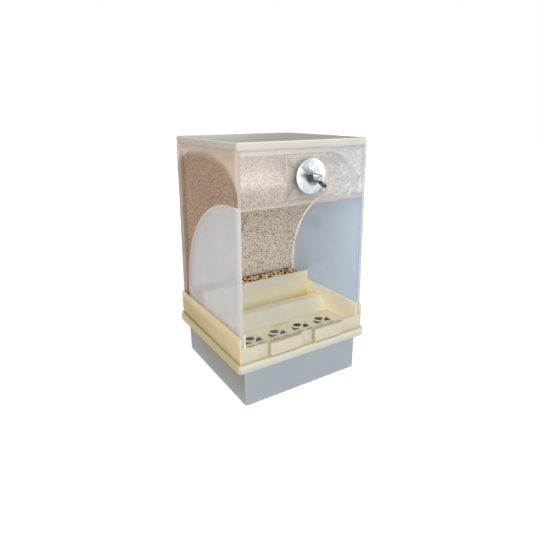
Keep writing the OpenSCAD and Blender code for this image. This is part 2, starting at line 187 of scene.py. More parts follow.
def makeFloor():
    half = studio["floorSize"] / 2
    corners = [(-half, -half, 0), (half, -half, 0), (half, half, 0), (-half, half, 0)]
    mesh = bpy.data.meshes.new("studioFloor")
    mesh.from_pydata(corners, [], [(0, 1, 2, 3)])
    floor = newObject("studioFloor", mesh)
    material, add = newMaterial("paleFloor")
    place = add("TexCoord").outputs["Object"]
    away = add("VectorMath", {0: place}, operation="LENGTH")
    level = add("MapRange", {"Value": away, fromSpan: studio["liftReach"], toSpan: studio["floorLift"]})
    lift = add("Math", {0: seenByEye(add), 1: level}, operation="MULTIPLY")
    paint = add("BsdfDiffuse", {"Color": studio["floorColour"]})
    glow = add("Emission", {"Strength": lift})
    both = add("AddShader", {0: paint, 1: glow})
    add("OutputMaterial", {"Surface": both})
    mesh.materials.append(material)


def makeLamps():
    target = Vector(studio["lampTarget"])
    for name, (place, width, watts, tint) in studio["lamps"].items():
        data = bpy.data.lights.new(name, "AREA")
        data.shape = "SQUARE"
        data.size = width
        data.energy = watts
        data.color = hexLinear(tint)[:3]
        lamp = newObject(name, data)
        lamp.location = place
        lamp.rotation_mode = "QUATERNION"
        lamp.rotation_quaternion = (target - Vector(place)).to_track_quat("-Z", "Y")


makeWorld()
makeFloor()
makeLamps()
bpy.context.scene.view_settings.view_transform = "Standard"
print("studio lit")


# Where the sheets stand, read from the frame

rampFlap = 10 * mm  # flat end of the ramp behind the hopper front
rampLow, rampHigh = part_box("curved_ramp")
rampSheet = 3 * mm  # its thickness
rampRadius = rampHigh.y - rampLow.y - rampFlap  # of the bend's face that carries the seed
rampAxis = Vector((0, rampLow.y + rampFlap, rampHigh.z - rampRadius))  # middle of the bend
innerLeft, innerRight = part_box("left_panel")[1].x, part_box("right_panel")[0].x
innerFront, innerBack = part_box("front_panel")[1].y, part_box("back_panel")[0].y
outerFront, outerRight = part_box("left_panel")[0].y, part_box("right_panel")[1].x
washerLow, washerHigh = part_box("clamp_washer")
boltAxisZ = (washerLow.z + washerHigh.z) / 2


# What several materials share

plasticIor = 1.49  # of acrylic and polypropylene
noiseSpan = (0.3, 0.7)  # most of a noise texture's values lie between these


def passLight(add, alpha, share):  # what a sheet hides from the eye it still lets through as soft light
    path = add("LightPath").outputs
    keep = add("MapRange", {"Value": path["Is Shadow Ray"], toSpan: (1.0, share)})
    return add("Math", {0: alpha, 1: keep}, operation="MULTIPLY")


def fineSkin(add, place, skin):  # skin: size, strength and depth of its grain
    size, strength, depth = skin
    grain = add("TexNoise", {"Vector": place, "Scale": 1 / size, "Detail": 2.0})
    return add("Bump", {"Height": grain, "Strength": strength, "Distance": depth})


# Clear and frosted sheets

heapLine = {  # the heap's top, as a dome from front to back
    "crest": 230.5 * mm,
    "crestY": 22 * mm,
    "power": 4.0,  # of the distance from the crest, so the dome is flat on top and steep at its ends
    "frontFall": 440.0,  # times that, in metres
    "backFall": 3300.0,
}
frostedSheet = {
    "roughness": 0.42,
    "specular": 0.3,
    "skin": (0.35 * mm, 0.25, 0.05 * mm),  # coarser than real frosting, so that it shows
    "cloud": 28 * mm,
    "veilDrift": 0.04,
    "seam": 1.0 * mm,  # softness of the change at the ramp
    "heapSeam": 5.0 * mm,  # and at the heap's top
    "shadowPass": 0.08,  # share of the veil left for lamp light, which a frosted sheet scatters on inwards
    "rimReach": 7.0 * mm,  # light gathers in the sheet this far behind its front edge
    "rimVeil": 0.30,
    "glue": "#E6DCD4",  # where the ramp's end is glued on
    "glueVeil": 0.62,
    "glueWidth": 2.2 * mm,
    "backReach": (9.0 * mm, 5.0 * mm),  # before the back panel, where the seed's tone fills the glued corner
    "backVeil": 0.90,
    "turnX": (0 * mm, 40 * mm),  # where the front sheet turns to its cooler tones on the right
    "turnedSeed": "#CED4DC",
    "turnedAbove": "#C0C5CA",
    "paintedGlare": 6.0 * mm,  # painted glare: size of the pale blotches on the turned side
    "paintedGlareSpan": (0.52, 0.70),
    "paintedGlareVeil": 0.35,
}


def overHeap(add, split):  # 0 before the seed, 1 over the heap's top
    run = add("Math", {0: split["Y"], 1: heapLine["crestY"]}, operation="SUBTRACT")
    steep = add("Math", {0: run, 1: heapLine["power"]}, operation="POWER")
    behind = add("Math", {0: run, 1: 0.0}, operation="GREATER_THAN")
    fall = add("MapRange", {"Value": behind, toSpan: (heapLine["frontFall"], heapLine["backFall"])})
    height = add("Math", {0: steep, 1: fall, 2: split["Z"]}, operation="MULTIPLY_ADD")
    return add("MapRange", {
        "Value": height, "From Min": heapLine["crest"] - frostedSheet["heapSeam"],
        "From Max": heapLine["crest"] + frostedSheet["heapSeam"],
    }, interpolation_type="SMOOTHSTEP")


def rampReach(add, place):  # distance from the middle of the ramp's bend, level along its flat ends
    side = add("VectorMath", {0: place, 1: (0, 1, 1)}, operation="MULTIPLY")
    side = add("VectorMath", {0: side, 1: rampAxis}, operation="MAXIMUM")
    return add("VectorMath", {0: side, 1: rampAxis}, operation="DISTANCE")


def frostedAcrylic(name, air, seed, above, shows):
    # sand-frosted acrylic: a milky veil without clear highlights, which takes the tone of the seed behind it
    # air, seed and above: colour and veil below the ramp, before the heap and over the heap
    sheet = frostedSheet
    material, add = newMaterial(name)
    place = add("TexCoord").outputs["Object"]
    split = add("SeparateXYZ", {0: place}).outputs
    over = overHeap(add, split)
    reach = rampReach(add, place)
    hopper = add("MapRange", {
        "Value": reach, fromSpan: (rampRadius - sheet["seam"], rampRadius + sheet["seam"]),
    })
    (airTone, airVeil), (seedTone, seedVeil), (aboveTone, aboveVeil) = air, seed, above
    full = add("MapRange", {"Value": over, toSpan: (seedVeil, aboveVeil)})
    if "corner" in shows:
        corner = add("MapRange", {
            "Value": split["Y"], "From Min": innerBack - sheet["backReach"][0],
            "From Max": innerBack - sheet["backReach"][1], "To Max": sheet["backVeil"],
        }, interpolation_type="SMOOTHSTEP")
        full = add("Math", {0: full, 1: corner}, operation="MAXIMUM")
    if "turn" in shows:
        turn = add("MapRange", {"Value": split["X"], fromSpan: sheet["turnX"]})
        seedTone = add("Mix", {0: turn, 6: seedTone, 7: sheet["turnedSeed"]}, data_type="RGBA")
        aboveTone = add("Mix", {0: turn, 6: aboveTone, 7: sheet["turnedAbove"]}, data_type="RGBA")
        # painted glare: noise blotches thicken the pale veil on the right
        glareNoise = add("TexNoise", {"Vector": place, "Scale": 1 / sheet["paintedGlare"], "Detail": 3.0})
        paintedGlare = add("MapRange", {
            "Value": glareNoise, fromSpan: sheet["paintedGlareSpan"], "To Max": sheet["paintedGlareVeil"],
        })
        full = add("Math", {0: paintedGlare, 1: turn, 2: full}, operation="MULTIPLY_ADD")
    tone = add("Mix", {0: over, 6: seedTone, 7: aboveTone}, data_type="RGBA")
    tone = add("Mix", {0: hopper, 6: airTone, 7: tone}, data_type="RGBA")
    veil = add("MapRange", {"Value": hopper, "To Min": airVeil, "To Max": full})
    if "glue" in shows:
        middle, half = rampRadius - rampSheet / 2, sheet["glueWidth"] / 2
        glued = add("Math", {0: reach, 1: middle, 2: half}, operation="COMPARE")
        tone = add("Mix", {0: glued, 6: tone, 7: sheet["glue"]}, data_type="RGBA")
        line = add("Math", {0: glued, 1: sheet["glueVeil"]}, operation="MULTIPLY")
        veil = add("Math", {0: veil, 1: line}, operation="MAXIMUM")
    if "rim" in shows:
        rim = add("MapRange", {
            "Value": split["Y"], fromSpan: (outerFront, outerFront + sheet["rimReach"]),
            toSpan: (sheet["rimVeil"], 0.0),
        }, interpolation_type="SMOOTHSTEP")
        veil = add("Math", {0: veil, 1: rim}, operation="ADD")
    cloud = add("TexNoise", {"Vector": place, "Scale": 1 / sheet["cloud"], "Detail": 3.0})
    drift = add("MapRange", {
        "Value": cloud, fromSpan: noiseSpan, toSpan: (-sheet["veilDrift"], sheet["veilDrift"]),
    })
    alpha = add("Math", {0: veil, 1: drift}, operation="ADD")
    shader = add("BsdfPrincipled", {
        "Base Color": tone, "Roughness": sheet["roughness"], "IOR": plasticIor,
        "Specular IOR Level": sheet["specular"], "Normal": fineSkin(add, place, sheet["skin"]),
        "Alpha": passLight(add, alpha, sheet["shadowPass"]),
    })
    add("OutputMaterial", {"Surface": shader})
    return material


sawnEdge = {
    "tones": ((0.3, "#B4B6B0"), (0.7, "#C0C2BC")),
    "marks": 0.8 * mm,
    "beforeSeed": "#AAA49C",  # up the left corner, where the seed takes the light
    "turn": 4 * mm,
    "roughness": 0.35,
    "veil": 0.85,
}


def sawnAcrylicEdge():  # sawn and flamed sheet edge: gathers light, so it reads as a bright strip
    material, add = newMaterial("sawnAcrylicEdge")
    place = add("TexCoord").outputs["Object"]
    split = add("SeparateXYZ", {0: place}).outputs
    marks = add("TexNoise", {"Vector": place, "Scale": 1 / sawnEdge["marks"], "Detail": 2.0})
    tone = add("ValToRGB", {"Fac": marks}, sawnEdge["tones"])
    turnZ = (rampHigh.z - sawnEdge["turn"], rampHigh.z + sawnEdge["turn"])
    high = add("MapRange", {"Value": split["Z"], fromSpan: turnZ})
    left = add("Math", {0: split["X"], 1: 0.0}, operation="LESS_THAN")
    dim = add("Math", {0: high, 1: left}, operation="MULTIPLY")
    tone = add("Mix", {0: dim, 6: tone, 7: sawnEdge["beforeSeed"]}, data_type="RGBA")
    shader = add("BsdfPrincipled", {
        "Base Color": tone, "Roughness": sawnEdge["roughness"], "IOR": plasticIor, "Alpha": sawnEdge["veil"],
    })
    add("OutputMaterial", {"Surface": shader})
    return material


clearSheet = {
    "colour": "#F4ECE4",
    "haze": 18 * mm,
    "veil": (0.12, 0.20),  # where the haze is thin and where it is thick
    "roughness": 0.22,
    "seedSideVeil": 0.05,
    "seedSideRoughness": 0.3,
    "hairline": ((-18.2 * mm, 168.3 * mm), (-14.6 * mm, 138.7 * mm)),  # x and z of the ends of a dark line
    "hairlineWidth": 1.3 * mm,
    "hairlineTone": "#5B4433",
    "hairlineVeil": 0.6,
}


def clearSeedSide():  # the ramp's other face, wiped clear by the seed: only a trace of haze
    material, add = newMaterial("clearSeedSide")
    shader = add("BsdfPrincipled", {
        "Base Color": clearSheet["colour"], "Roughness": clearSheet["seedSideRoughness"], "IOR": plasticIor,
        "Alpha": clearSheet["seedSideVeil"],
    })
    add("OutputMaterial", {"Surface": shader})
    return material


def darkHairlineMask(add, split):  # 1 along the hairline
    (topX, topZ), (lowX, lowZ) = clearSheet["hairline"]
    track = add("MapRange", {
        "Value": split["Z"], fromSpan: (lowZ, topZ), toSpan: (lowX, topX),
    }, clamp=False)
    away = add("Math", {0: split["X"], 1: track}, operation="SUBTRACT")
    away = add("Math", {0: away}, operation="ABSOLUTE")
    onTrack = add("Math", {0: away, 1: clearSheet["hairlineWidth"] / 2}, operation="LESS_THAN")
    onLength = add("Math", {0: split["Z"], 1: (topZ + lowZ) / 2, 2: (topZ - lowZ) / 2}, operation="COMPARE")
    return add("Math", {0: onTrack, 1: onLength}, operation="MULTIPLY")


def clearAcrylic():  # clear acrylic bent to an arc: a thin haze with soft gloss, and one dark hairline
    sheet = clearSheet
    material, add = newMaterial("clearBentAcrylic")
    place = add("TexCoord").outputs["Object"]
    split = add("SeparateXYZ", {0: place}).outputs
    line = darkHairlineMask(add, split)
    tone = add("Mix", {0: line, 6: sheet["colour"], 7: sheet["hairlineTone"]}, data_type="RGBA")
    haze = add("TexNoise", {"Vector": place, "Scale": 1 / sheet["haze"], "Detail": 4.0})
    veil = add("MapRange", {fromSpan: noiseSpan, "Value": haze, toSpan: sheet["veil"]})
    dark = add("Math", {0: line, 1: sheet["hairlineVeil"]}, operation="MULTIPLY")
    alpha = add("Math", {0: dark, 1: veil}, operation="MAXIMUM")
    shader = add("BsdfPrincipled", {
        "Base Color": tone, "Roughness": sheet["roughness"], "IOR": plasticIor,
        "Alpha": passLight(add, alpha, frostedSheet["shadowPass"]),
    })
    add("OutputMaterial", {"Surface": shader})
    return material


# Moulded plastics

mouldedTray = {
    "tones": ((0.22, "#F0D67A"), (0.42, "#E8E1C6"), (0.72, "#D6D1BA"), (0.96, "#C4C1B2")),  # painted light by openness: an ochre glow in the corners for light thrown between the cream walls, greyer on open faces
    "reach": 30 * mm,
    # painted by openness on the front's outside: ochre in the gap under the flange, cooler grey on the open
    # face
    "frontTones": ((0.30, "#CDB978"), (0.55, "#B5B09A"), (0.96, "#BAB7A4")),
    "frontY": (-1.7 * mm, -1.1 * mm),  # from the panels' front edge, where the front wall's outside ends
    "sideX": (0.5 * mm, 1.2 * mm),  # past the panels, where the side walls' outside begins
    "sideY": (-60 * mm, 40 * mm),
    "sideTones": ("#CDBF92", "#B8A26A"),  # painted at the front and at the back: an ochre glow and the shade inside showing through, darker where seed lies behind
    # painted light: a paler band along the side walls' top
    "sideTop": "#D8CCA4",
    "topZ": (62 * mm, 71 * mm),
    "towardLeft": (-0.5, -0.9, 1.30),  # the normal's X where light is first and fully gained, and the gain
    "towardTop": (0.7, 0.95, 1.20),  # the same by the normal's Z
    "onDam": (16 * mm, 18 * mm, 0.85),  # and by the place along Y
}
mouldedGrate = {
    # painted shade: dark olive deep in the narrow openings
    "tones": ((0.15, "#6E6850"), (0.65, "#E8E1C8")),
    "reach": 3 * mm,
}
mouldedPad = {
    # painted shade: a little darker where the pad is hemmed in
    "tones": ((0.15, "#AEA99C"), (0.65, "#B8B4AC")),
    "reach": 10 * mm,
}
moulding = {
    "flow": 40 * mm,
    "flowTint": (0.96, 1.03),
    "roughness": (0.35, 0.46),
    "skin": (0.6 * mm, 0.12, 0.04 * mm),  # coarser than a real mould's skin, so that it shows
    "glow": 0.12,
    "glowRadius": (1.0, 0.6, 0.2),
    "glowDepth": 3 * mm,
    "openSamples": 8,
}


def trayWalls(add, place, openness, tone):  # painted light and shade: faces toward the left and up painted lighter, places behind the dam's face darker; the front stays cool and the long side walls glow ochre
    piece = mouldedTray
    split = add("SeparateXYZ", {0: place}).outputs
    facing = add("TexCoord").outputs["Normal"]
    facing = add("SeparateXYZ", {0: facing}).outputs
    gains = (
        (facing["X"], piece["towardLeft"]), (facing["Z"], piece["towardTop"]), (split["Y"], piece["onDam"]),
    )
    for along, (start, end, gain) in gains:
        gained = add("MapRange", {"Value": along, fromSpan: (start, end), toSpan: (1.0, gain)})
        tone = add("VectorMath", {0: tone, 1: gained}, operation="MULTIPLY")
    across = add("Math", {0: split["X"]}, operation="ABSOLUTE")
    turns = (
        (split["Y"], piece["frontY"], outerFront), (split["Y"], piece["sideY"], 0),
        (split["Z"], piece["topZ"], 0), (across, piece["sideX"], outerRight),
    )
    inside, backward, high, outside = [
        add("MapRange", {"Value": along, fromSpan: (origin + start, origin + end)})
        for along, (start, end), origin in turns
    ]
    front = add("ValToRGB", {"Fac": openness}, piece["frontTones"])
    tone = add("Mix", {0: inside, 6: front, 7: tone}, data_type="RGBA")
    wallFront, wallBack = piece["sideTones"]
    wall = add("Mix", {0: backward, 6: wallFront, 7: wallBack}, data_type="RGBA")
    wall = add("Mix", {0: high, 6: wall, 7: piece["sideTop"]}, data_type="RGBA")
    return add("Mix", {0: outside, 6: tone, 7: wall}, data_type="RGBA")


def mouldedPlastic(name, piece, glow=moulding["glow"], local=True, walls=None):
    # injection-moulded polypropylene: soft satin skin, slightly waxy; its tone by openness is painted light
    # and shade, warmer in its corners
    material, add = newMaterial(name)
    place = add("TexCoord").outputs["Object"]
    openness = add("AmbientOcclusion", {"Distance": piece["reach"]},
                   samples=moulding["openSamples"], only_local=local).outputs["AO"]
    tone = add("ValToRGB", {"Fac": openness}, piece["tones"])
    if walls:
        tone = walls(add, place, openness, tone)
    flow = add("TexNoise", {"Vector": place, "Scale": 1 / moulding["flow"], "Detail": 3.0})
    tint, gloss = [
        add("MapRange", {fromSpan: noiseSpan, "Value": flow, toSpan: ends})
        for ends in (moulding["flowTint"], moulding["roughness"])
    ]
    tone = add("VectorMath", {0: tone, 1: tint}, operation="MULTIPLY")
    shader = add("BsdfPrincipled", {
        "Base Color": tone, "Roughness": gloss, "IOR": plasticIor,
        "Normal": fineSkin(add, place, moulding["skin"]), "Subsurface Weight": glow,
        "Subsurface Radius": moulding["glowRadius"], "Subsurface Scale": moulding["glowDepth"],
    })
    add("OutputMaterial", {"Surface": shader})
    return material


lidPlastic = {
    "top": "#97938B",  # painted shade: the top is painted darker for the dim hopper below it and the little light from above
    # painted highlight: a pale line along the top edge of the band
    "rim": "#D8D4CA",
    "band": "#BDBAB4",
    "rimHeight": 1.1 * mm,
    "topDepth": 0.25 * mm,
    "cloud": 22 * mm,
    "cloudTint": (0.95, 1.04),
    "roughness": 0.55,
    "specular": 0.2,
    "shadowPass": 0.5,  # share of the lid left for lamp light, the rest glows through into the hopper
}


def milkyLid():  # thin milky polypropylene: painted greyer where it spans the dim hopper, with a painted highlight along its rim
    piece = lidPlastic
    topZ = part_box("lid")[1].z
    material, add = newMaterial("milkyPolypropylene")
    place = add("TexCoord").outputs["Object"]
    height = add("SeparateXYZ", {0: place}).outputs["Z"]
    onTop = add("Math", {0: height, 1: topZ - piece["topDepth"]}, operation="GREATER_THAN")
    onRim = add("Math", {0: height, 1: topZ - piece["rimHeight"]}, operation="GREATER_THAN")
    tone = add("Mix", {0: onRim, 6: piece["band"], 7: piece["rim"]}, data_type="RGBA")
    tone = add("Mix", {0: onTop, 6: tone, 7: piece["top"]}, data_type="RGBA")
    cloud = add("TexNoise", {"Vector": place, "Scale": 1 / piece["cloud"], "Detail": 4.0})
    tint = add("MapRange", {fromSpan: noiseSpan, "Value": cloud, toSpan: piece["cloudTint"]})
    tone = add("VectorMath", {0: tone, 1: tint}, operation="MULTIPLY")
    shader = add("BsdfPrincipled", {
        "Base Color": tone, "Roughness": piece["roughness"], "IOR": plasticIor,
        "Specular IOR Level": piece["specular"], "Normal": fineSkin(add, place, moulding["skin"]),
        "Alpha": passLight(add, 1.0, piece["shadowPass"]),
    })
    add("OutputMaterial", {"Surface": shader})
    return material


binPlastic = {
    "tones": ((0.3, "#959EA6"), (0.7, "#9BA4AC")),
    "flow": 45 * mm,
    "flangeFoot": "#B6B9B6",
    "flangeRim": "#C8C5B4",  # the rim lies against the tray, whose cream shows through
    "flangeSide": "#C2B68C",
    "flangeHeight": 9.3 * mm,
    "flangeSoft": 0.5 * mm,
    "rimHeight": 4.6 * mm,
    "rimSoft": 0.8 * mm,
    "sideX": (74.2 * mm, 75.0 * mm),
    "paintedSideShade": "#7F7159",  # painted shade: the side walls are painted darker and warmer up towards the flange, for the shade under it and the cream tray showing through
    "wallSideX": (65.9 * mm, 66.4 * mm),
    "wallSideZ": (6 * mm, 37 * mm),
    "corner": "#B4BCC2",  # light gathers in the upright corners
    "cornerStart": (64.6 * mm, 66.6 * mm),
    "veil": (0.86, 0.90),  # of the wall and of the flange
    "shadowPass": 0.18,  # share of the wall left for lamp light, the rest glows through into the bin
    "roughness": 0.40,
}


def translucentBin():  # blue-grey translucent polypropylene: cloudy, with a soft sheen
    piece = binPlastic
    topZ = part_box("husk_bin")[1].z
    flangeZ, rimZ = topZ - piece["flangeHeight"], topZ - piece["rimHeight"]
    material, add = newMaterial("blueGreyPolypropylene")
    place = add("TexCoord").outputs["Object"]
    apart = add("VectorMath", {0: place}, operation="ABSOLUTE")
    split = add("SeparateXYZ", {0: apart}).outputs
    turns = (
        ("Z", (flangeZ - piece["flangeSoft"], flangeZ + piece["flangeSoft"])),
        ("Z", (rimZ - piece["rimSoft"], rimZ + piece["rimSoft"])),
        ("X", piece["sideX"]), ("X", piece["wallSideX"]), ("Z", piece["wallSideZ"]),
        ("X", piece["cornerStart"]), ("Y", piece["cornerStart"]),
    )
    onFlange, onRim, onSide, beside, raised, nearX, nearY = [
        add("MapRange", {"Value": split[axis], fromSpan: span}) for axis, span in turns
    ]
    sideShade = add("Math", {0: beside, 1: raised}, operation="MULTIPLY")
    atCorner = add("Math", {0: nearX, 1: nearY}, operation="MULTIPLY")
    flow = add("TexNoise", {"Vector": place, "Scale": 1 / piece["flow"], "Detail": 3.0})
    wall = add("ValToRGB", {"Fac": flow}, piece["tones"])
    wall = add("Mix", {0: sideShade, 6: wall, 7: piece["paintedSideShade"]}, data_type="RGBA")
    wall = add("Mix", {0: atCorner, 6: wall, 7: piece["corner"]}, data_type="RGBA")
    flange = add("Mix", {0: onRim, 6: piece["flangeFoot"], 7: piece["flangeRim"]}, data_type="RGBA")
    flange = add("Mix", {0: onSide, 6: flange, 7: piece["flangeSide"]}, data_type="RGBA")
    tone = add("Mix", {0: onFlange, 6: wall, 7: flange}, data_type="RGBA")
    veil = add("MapRange", {"Value": onFlange, toSpan: piece["veil"]})
    shader = add("BsdfPrincipled", {
        "Base Color": tone, "Roughness": piece["roughness"], "IOR": plasticIor,
        "Normal": fineSkin(add, place, moulding["skin"]), "Alpha": passLight(add, veil, piece["shadowPass"]),
    })
    add("OutputMaterial", {"Surface": shader})
    return material


# Metals

plating = {
    "cloud": 4 * mm,
    "cloudSpan": (0.35, 0.65),
    "glossDrift": (-0.06, 0.08),
    "bump": (0.15, 0.02 * mm),  # strength and depth
    "paintedWingReflection": "#D6DADC",  # painted reflection: the wing that stands up is painted pale, for the pale room it mirrors
    "wingRise": (1.5 * mm, 4.0 * mm),  # over the bolt's axis
}


def platedSteel(name, bright, dull, roughness, grit, paintedReflection=None):
    # zinc-plated steel: bright, finely clouded, with a soft grain from pressing or rolling
    material, add = newMaterial(name)
    place = add("TexCoord").outputs["Object"]
    cloud = add("TexNoise", {"Vector": place, "Scale": 1 / plating["cloud"], "Detail": 4.0})
    grain = add("TexNoise", {"Vector": place, "Scale": 1 / grit, "Detail": 2.0})
    tone = add("ValToRGB", {"Fac": cloud}, tuple(zip(plating["cloudSpan"], (dull, bright))))
    if paintedReflection:
        # painted reflection: the part above the bolt's axis is painted pale
        height = add("SeparateXYZ", {0: place}).outputs["Z"]
        span = [boltAxisZ + rise for rise in plating["wingRise"]]
        raised = add("MapRange", {"Value": height, fromSpan: span})
        tone = add("Mix", {0: raised, 6: tone, 7: paintedReflection}, data_type="RGBA")
    ends = [roughness + drift for drift in plating["glossDrift"]]
    gloss = add("MapRange", {fromSpan: noiseSpan, "Value": grain, toSpan: ends})
    strength, depth = plating["bump"]
    bump = add("Bump", {"Height": grain, "Strength": strength, "Distance": depth})
    shader = add("BsdfPrincipled", {"Base Color": tone, "Metallic": 1.0, "Roughness": gloss, "Normal": bump})
    add("OutputMaterial", {"Surface": shader})
    return material


# Seed

seedMix = {  # where each tone starts in the mix, and its colour; the same seed throughout, with ramp, front, side and pale painted lighter or darker for the light that reaches it behind each sheet
    "ramp": ((0.00, "#EEDFCF"), (0.28, "#F6EADE"), (0.56, "#E7D4C1"),
             (0.76, "#DFCAB4"), (0.89, "#BCA791"), (0.95, "#8A7663")),
    "front": ((0.00, "#C0B5AC"), (0.28, "#C6BCB2"), (0.54, "#BDB1A7"),
              (0.74, "#B9ACA0"), (0.87, "#B0A296"), (0.95, "#A29386")),
    "side": ((0.00, "#D0AE90"), (0.24, "#D8BA9E"), (0.46, "#CAA68A"),
             (0.66, "#C5A288"), (0.82, "#BA987C"), (0.93, "#A88A72")),
    "pale": ((0.00, "#E6DBD0"), (0.26, "#ECE3DA"), (0.52, "#E0D3C7"),
             (0.74, "#DBCDC0"), (0.86, "#CFBFB0"), (0.94, "#BAA898")),
    "rich": ((0.00, "#FFDEA0"), (0.22, "#FFF6DE"), (0.46, "#F0B468"),
             (0.62, "#B87240"), (0.74, "#5E2E14"), (0.86, "#100804")),
}
husk = {
    "roughness": 0.45,
    "ior": 1.5,
    "streak": 0.8 * mm,
    "streakTint": (0.86, 1.08),
}
packedSeed = {
    "cell": 2.2 * mm,
    "gap": (0.3, 0.75),  # shares of a cell from a grain's middle, where shade starts and is full
    "gapTint": (0.85, 0.35),
    "roughness": 0.6,
}


def seedHusks(name, mix):  # dry millet and canary seed: smooth husks in straw, cream, orange and brown
    material, add = newMaterial(name)
    place = add("TexCoord").outputs["Object"]
    pick = add("Attribute", attribute_name="grainTone").outputs["Fac"]
    tone = add("ValToRGB", {"Fac": pick}, mix)
    tone.color_ramp.interpolation = "CONSTANT"
    streak = add("TexNoise", {"Vector": place, "Scale": 1 / husk["streak"], "Detail": 2.0})
    tint = add("MapRange", {fromSpan: noiseSpan, "Value": streak, toSpan: husk["streakTint"]})
    tone = add("VectorMath", {0: tone, 1: tint}, operation="MULTIPLY")
    shader = add("BsdfPrincipled", {"Base Color": tone, "Roughness": husk["roughness"], "IOR": husk["ior"]})
    add("OutputMaterial", {"Surface": shader})
    return material


def seedBed(name, mix):  # the same seed packed below the outer layer: brown shade between grains
    material, add = newMaterial(name)
    place = add("TexCoord").outputs["Object"]
    cells = add("TexVoronoi", {"Vector": place, "Scale": 1 / packedSeed["cell"]}).outputs
    pick = add("SeparateColor", {0: cells["Color"]})
    tone = add("ValToRGB", {"Fac": pick}, mix)
    tone.color_ramp.interpolation = "CONSTANT"
    tint = add("MapRange", {
        "Value": cells["Distance"], fromSpan: packedSeed["gap"], toSpan: packedSeed["gapTint"],
    })
    tone = add("VectorMath", {0: tone, 1: tint}, operation="MULTIPLY")
    shader = add("BsdfPrincipled", {"Base Color": tone, "Roughness": packedSeed["roughness"]})
    add("OutputMaterial", {"Surface": shader})
    return material


beforeSeed = ("#A68F7A", 0.22)  # tone and veil of the side and back sheets before the heap
finish = {  # a frosted sheet: tone and veil below the ramp, before and over the heap, then what else shows
    "frostSide": frostedAcrylic("frostedAcrylicSide", ("#D0D3DC", 0.57), beforeSeed, ("#DCCDBE", 0.50),
                                ("rim", "glue", "corner")),
    # the right sheet is the same acrylic as the left; its tones are painted cooler for the shade its inner
    # face stands in
    "frostCool": frostedAcrylic("frostedAcrylicCool", ("#B6CDE6", 0.66), beforeSeed, ("#CCD0D6", 0.50),
                                ("rim", "glue", "corner")),
    "frostBack": frostedAcrylic("frostedAcrylicBack", ("#D4D6D8", 0.60), beforeSeed, ("#D8D0C8", 0.45),
                                ("glue",)),
    "frostFront": frostedAcrylic("frostedAcrylicFront", ("#C8BEB6", 0.34), ("#B8AEA6", 0.23),
                                 ("#DCD5D2", 0.30), ("turn",)),
    "edge": sawnAcrylicEdge(),
    "clear": clearAcrylic(),
    "seedSide": clearSeedSide(),
    "tray": mouldedPlastic("creamPolypropylene", mouldedTray, local=False, walls=trayWalls),
    "grate": mouldedPlastic("ivoryPolypropylene", mouldedGrate),
    "lid": milkyLid(),
    "pad": mouldedPlastic("greyPolypropylene", mouldedPad, glow=0.0),
    "bin": translucentBin(),
    # a metal: bright and dull tone, roughness and grit
    "zinc": platedSteel("brightZincPlate", "#C4C9CC", "#AFB5B9", 0.30, 0.5 * mm),
    "bolt": platedSteel("rolledZincThread", "#A4A8AB", "#84888B", 0.24, 0.4 * mm),
    "nut": platedSteel("castZincAlloy", "#606468", "#3A3E42", 0.26, 0.6 * mm, plating["paintedWingReflection"]),
    "rampHusk": seedHusks("rampSeedHusksPaintedLight", seedMix["ramp"]),
    "frontHusk": seedHusks("strawSeedHusks", seedMix["front"]),
    "sideHusk": seedHusks("brownSeedHusks", seedMix["side"]),
    "hopperHusk": seedHusks("paleSeedHusks", seedMix["pale"]),
    "hopperBed": seedBed("palePackedSeed", seedMix["pale"]),
    "troughHusk": seedHusks("richSeedHusks", seedMix["rich"]),
    "troughBed": seedBed("richPackedSeed", seedMix["rich"]),
}
print("materials made:", len(finish))


# Pieces that keep the solid's shape, with the small edge rounds that moulding, sawing and pressing leave

rounded = {  # node: finish, slot, edge round, axes along which a sheet's cut edges are bare
    "husk_bin": ("bin", "bin_plastic", 0.35 * mm, None),
    "seed_tray": ("tray", "tray_plastic", 0.30 * mm, None),
    "husk_grate": ("grate", "grate_plastic", 0.35 * mm, None),
    "left_panel": ("frostSide", "frosted_sheet", 0.25 * mm, (1, 2)),
    "right_panel": ("frostCool", "frosted_sheet", 0.25 * mm, (1, 2)),
    "back_panel": ("frostBack", "frosted_sheet", 0.25 * mm, (2,)),
    "front_panel": ("frostFront", "frosted_sheet", 0.25 * mm, (2,)),
    "bolt_pad": ("pad", "pad_plastic", 0.35 * mm, None),
    "inner_washer": ("zinc", "zinc_steel", 0.2 * mm, None),
    "lock_nut": ("nut", "nut_steel", 0.2 * mm, None),
    "clamp_washer": ("zinc", "zinc_steel", 0.3 * mm, None),
    "wing_nut": ("nut", "nut_steel", 0.35 * mm, None),
    "lid": ("lid", "lid_plastic", 0.3 * mm, None),
}
edges = {
    "sharp": 28,  # degrees, past which an edge is rounded
    "sameFlat": 0.5,  # degrees, up to which triangles join to one face
    "steps": 2,
    "profile": 0.5,  # a quarter circle
    "merge": 0.002 * mm,
    "glueGap": 0.06 * mm,
    "facing": 0.5,  # share of a normal along an axis, past which a face looks along it
    "crease": 40,  # degrees, past which shading breaks
    "rampCrease": 30,
    "boltCrease": 35,
}


def solidCopy(node):
    source = nodes[node].data
    mesh = bpy.data.meshes.new(node + "_dressed")
    mesh.from_pydata([v.co for v in source.vertices], [], [list(p.vertices) for p in source.polygons])
    shape = bmesh.new()
    shape.from_mesh(mesh)
    bmesh.ops.remove_doubles(shape, verts=shape.verts, dist=edges["merge"])
    flat = math.radians(edges["sameFlat"])
    bmesh.ops.dissolve_limit(shape, angle_limit=flat, verts=shape.verts, edges=shape.edges)
    return mesh, shape


